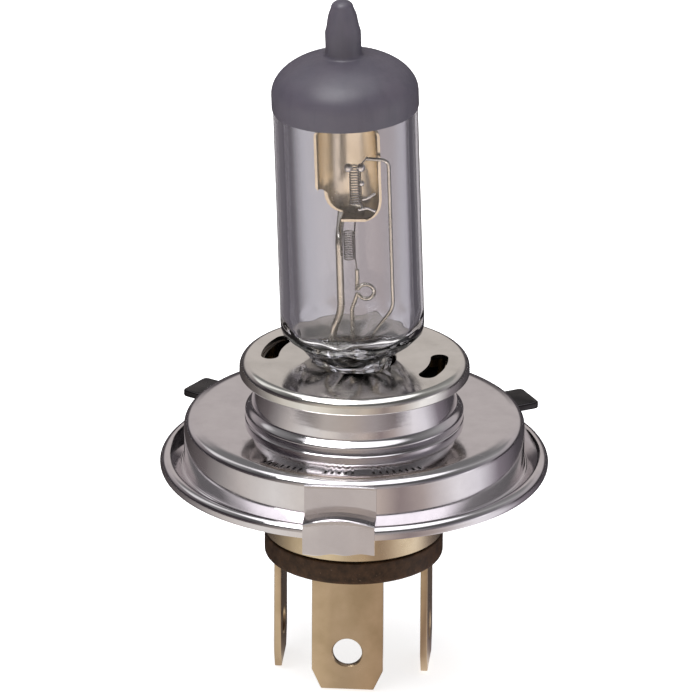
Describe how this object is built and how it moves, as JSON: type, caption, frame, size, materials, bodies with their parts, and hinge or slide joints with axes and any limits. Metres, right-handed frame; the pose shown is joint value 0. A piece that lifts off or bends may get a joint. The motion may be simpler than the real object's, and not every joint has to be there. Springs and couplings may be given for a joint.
{
  "type": "headlight bulb",
  "caption": "Halogen headlight bulb: leaning quartz capsule with blacked-out tip and dipped-beam shield on a steel reference-ring base with flat blade terminals.",
  "frame": {"origin": "on the base axis, in the plane of the reference ring's flat top face", "axes": "+Z along the base axis towards the glass tip, -Y towards the wide lug and the front terminal"},
  "size_m": [0.0436, 0.0436, 0.0795],
  "materials": {
    "plated_steel": "bright nickel plating",
    "plated_brass": "dull golden plating",
    "phenolic": "satin dark brown moulding",
    "quartz_glass": "clear with a faint grey tint",
    "opaque_coating": "satin grey-violet heat-proof coating",
    "molybdenum": "bright drawn metal",
    "tungsten": "fine coiled wire"
  },
  "bodies": {
    "root": {"reference_ring": "plated_steel", "cap_head": "plated_steel", "neck_sleeve": "plated_steel", "pinch_holder": "plated_steel", "terminal_cup": "plated_brass", "blade_front": "plated_brass", "blade_left": "plated_brass", "blade_right": "plated_brass", "insulator_plate": "phenolic", "glass_envelope": "quartz_glass", "blackout_coating": "opaque_coating", "low_beam_shield": "molybdenum", "common_lead": "molybdenum", "high_beam_lead": "molybdenum", "low_beam_lead": "molybdenum", "foil_common": "molybdenum", "foil_high_beam": "molybdenum", "foil_low_beam": "molybdenum", "outer_lead_common": "molybdenum", "outer_lead_high_beam": "molybdenum", "outer_lead_low_beam": "molybdenum", "low_beam_filament": "tungsten", "high_beam_filament": "tungsten"}
  },
  "joints": []
}
